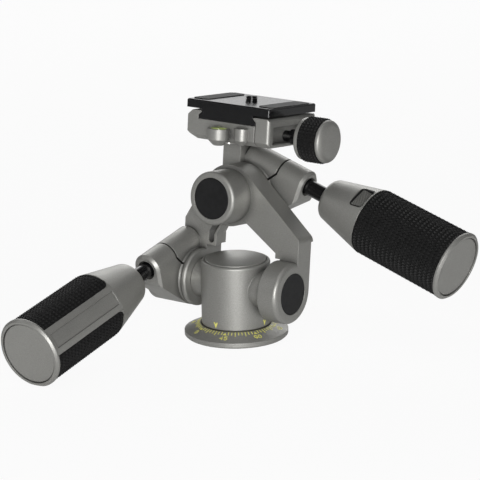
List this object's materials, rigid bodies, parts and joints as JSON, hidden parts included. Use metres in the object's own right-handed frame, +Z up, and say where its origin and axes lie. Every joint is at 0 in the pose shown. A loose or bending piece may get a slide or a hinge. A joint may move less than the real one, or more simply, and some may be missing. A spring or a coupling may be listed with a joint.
{
  "type": "three way pan tilt head",
  "caption": "Three way pan and tilt camera support head with pan scale, offset tilt arm, pinch clamp handles, bubble level and quick release plate.",
  "frame": {"origin": "centre of the base's bottom face, at the mouth of the tripod thread", "axes": "+Z up along the pan axis, +X along the tilt axis towards the right boss, -Y towards the operator and the left handle"},
  "size_m": [0.1912, 0.1983, 0.1381],
  "materials": {
    "satin_grey_paint": "cast aluminium under fine satin grey paint",
    "bright_steel": "machined steel",
    "black_steel": "polished black",
    "black_alloy": "black anodised",
    "bronze": "plain bearing bronze",
    "friction_plastic": "matt",
    "black_plastic": "satin black",
    "black_rubber": "matt black rubber",
    "level_fluid": "clear lime bubble level"
  },
  "bodies": {
    "base": {"base_disc": "satin_grey_paint", "pan_spindle": "bright_steel", "flange_screws": "bright_steel", "pan_friction_washer": "friction_plastic", "pan_retaining_washer": "bright_steel", "pan_retaining_screw": "bright_steel"},
    "pan_turret": {"pan_housing": "satin_grey_paint", "pan_bush": "bronze", "pan_top_cap": "satin_grey_paint", "tilt_shaft": "bright_steel", "right_shaft_washer": "bright_steel", "right_shaft_screw": "bright_steel", "left_shaft_washer": "bright_steel", "left_shaft_screw": "bright_steel", "pan_brake_shoe": "bronze"},
    "pan_lock": {"pan_lock_knob": "black_plastic", "pan_lock_screw": "bright_steel"},
    "arm": {"tilt_arm": "satin_grey_paint", "tilt_bush": "bronze", "right_boss_cover": "black_plastic", "left_clamp_cover": "black_plastic", "barrel_cover": "black_plastic", "lateral_shaft": "bright_steel", "lateral_nut": "bright_steel", "lateral_nut_washer": "bright_steel", "lateral_shaft_washer": "bright_steel", "lateral_shaft_screw": "bright_steel"},
    "platform": {"platform_bracket": "satin_grey_paint", "quick_release_body": "satin_grey_paint", "bracket_screws": "bright_steel", "level_vial": "level_fluid", "level_ring": "bright_steel", "lateral_clamp_cover": "black_plastic", "jaw_guide_pins": "bright_steel"},
    "jaw": {"sliding_jaw": "satin_grey_paint"},
    "jaw_knob": {"jaw_knob_hub": "satin_grey_paint", "jaw_knob_ring": "black_rubber", "jaw_knob_cap": "satin_grey_paint", "jaw_screw": "black_steel"},
    "plate": {"camera_plate": "black_alloy", "plate_pads": "black_rubber"},
    "camera_screw": {"camera_screw": "black_steel"},
    "left_handle": {"left_handle_rod": "black_steel", "left_handle_core": "satin_grey_paint", "left_handle_end_disc": "satin_grey_paint", "left_grip_rubber": "black_rubber"},
    "right_handle": {"right_handle_rod": "black_steel", "right_handle_core": "satin_grey_paint", "right_handle_end_disc": "satin_grey_paint", "right_grip_rubber": "black_rubber"}
  },
  "joints": [
    {"name": "pan", "type": "hinge", "parent": "base", "child": "pan_turret", "pos_m": [0, 0, 0.0125], "axis": [0, 0, 1], "continuous": true},
    {"name": "pan_lock_turn", "type": "hinge", "parent": "pan_turret", "child": "pan_lock", "pos_m": [0, 0.025, 0.015], "axis": [0, 1, 0], "range_deg": [0, 360]},
    {"name": "tilt", "type": "hinge", "parent": "pan_turret", "child": "arm", "pos_m": [0, 0, 0.03], "axis": [1, 0, 0], "range_deg": [-83.8, 41.2]},
    {"name": "lateral", "type": "hinge", "parent": "arm", "child": "platform", "pos_m": [-0.01, 0.03518, 0.07607], "axis": [0, 0.9942, -0.108], "range_deg": [-90, 22]},
    {"name": "jaw_slide", "type": "slide", "parent": "platform", "child": "jaw", "axis": [1, 0, 0], "range_m": [0, 0.003]},
    {"name": "jaw_knob_turn", "type": "hinge", "parent": "jaw", "child": "jaw_knob", "pos_m": [0.04, 0.0161, 0.11707], "axis": [1, 0, 0], "range_deg": [0, 1080]},
    {"name": "plate_slide", "type": "slide", "parent": "platform", "child": "plate", "axis": [0, 0.9942, -0.108], "range_m": [-0.012, 0.012]},
    {"name": "camera_screw_turn", "type": "hinge", "parent": "plate", "child": "camera_screw", "pos_m": [0, 0.01736, 0.1287], "axis": [0, 0.108, 0.9942], "continuous": true},
    {"name": "left_handle_turn", "type": "hinge", "parent": "arm", "child": "left_handle", "pos_m": [-0.0379, -0.06219, 0.03459], "axis": [0, -0.9796, -0.2011], "range_deg": [0, 360]},
    {"name": "right_handle_turn", "type": "hinge", "parent": "platform", "child": "right_handle", "pos_m": [0.05235, 0.03662, 0.07451], "axis": [0.9558, -0.0318, -0.2923], "range_deg": [0, 360]}
  ],
  "couplings": [
    {"joint": "jaw_knob_turn", "follows": "jaw_slide", "rad_per_m": 6283.2}
  ]
}
